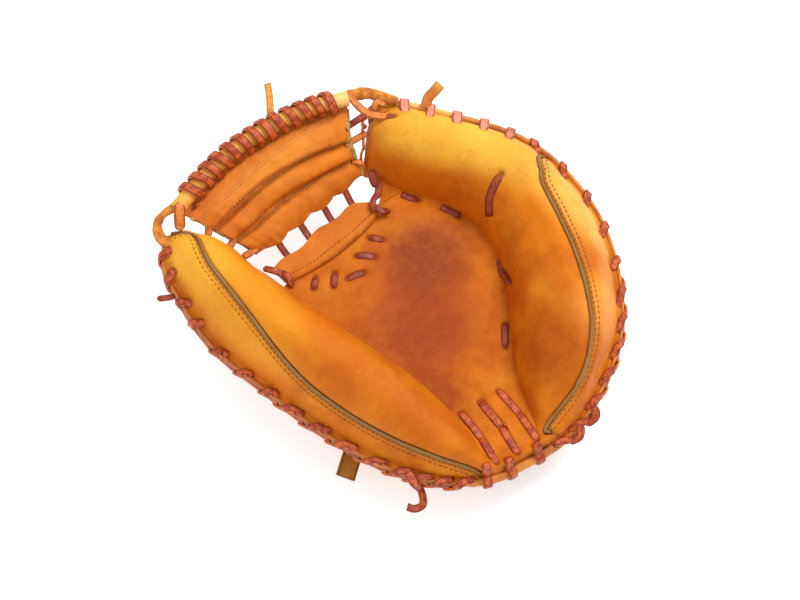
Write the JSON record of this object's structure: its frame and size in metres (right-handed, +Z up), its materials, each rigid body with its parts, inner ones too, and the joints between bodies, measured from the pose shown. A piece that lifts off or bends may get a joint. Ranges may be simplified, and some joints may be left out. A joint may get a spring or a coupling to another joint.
{
  "type": "catcher's mitt",
  "caption": "Padded leather baseball catcher's mitt for the left hand, with closed web, laced rim and open hand hollow, lying on its back with the pocket up.",
  "frame": {"origin": "on the surface that the mitt lies on, under the middle of its outline", "axes": "+Z up, +Y from the heel to the web, +X from the thumb to the fingers"},
  "size_m": [0.262, 0.2867, 0.1281],
  "materials": {
    "leather": "oiled steerhide, satin, with a fine grain",
    "back_leather": "oiled steerhide, satin, with a fine grain",
    "binding_leather": "thin rolled leather, satin",
    "lace": "red-brown rawhide lace, satin",
    "raw_lace": "rawhide, worn and matt",
    "piping": "grey-olive rolled leather, matt"
  },
  "bodies": {
    "root": {"palm_panel": "leather", "thumb_side_panel": "leather", "finger_side_panel": "leather", "thumb_piping": "piping", "finger_piping": "piping", "back_shell": "back_leather", "wrist_strap": "back_leather", "rim_binding": "binding_leather", "rim_lace_thumb": "lace", "rim_lace_finger": "lace", "web_panel": "leather", "web_bar": "binding_leather", "web_bar_lace": "lace", "pocket_flap": "leather", "web_flap_lace_1": "lace", "web_flap_lace_2": "lace", "web_flap_lace_3": "lace", "web_flap_lace_4": "lace", "web_thumb_lace_1": "lace", "web_thumb_lace_2": "lace", "web_thumb_lace_3": "lace", "web_finger_lace_1": "lace", "web_finger_lace_2": "lace", "web_finger_lace_3": "lace", "finger_edge_lace": "lace", "palm_lace_1": "lace", "palm_lace_2": "lace", "palm_lace_3": "lace", "palm_lace_4": "lace", "palm_lace_5": "lace", "pad_lace_1": "lace", "pad_lace_2": "lace", "pad_lace_3": "lace", "pad_lace_4": "lace", "pad_lace_5": "lace", "finger_corner_lace": "lace", "heel_lace_1": "lace", "heel_lace_2": "lace", "heel_lace_3": "lace", "thumb_corner_strap": "raw_lace", "finger_corner_strap": "raw_lace", "web_tail": "raw_lace", "finger_tail": "raw_lace", "strap_end": "raw_lace", "heel_knot_tail": "raw_lace"}
  },
  "joints": []
}
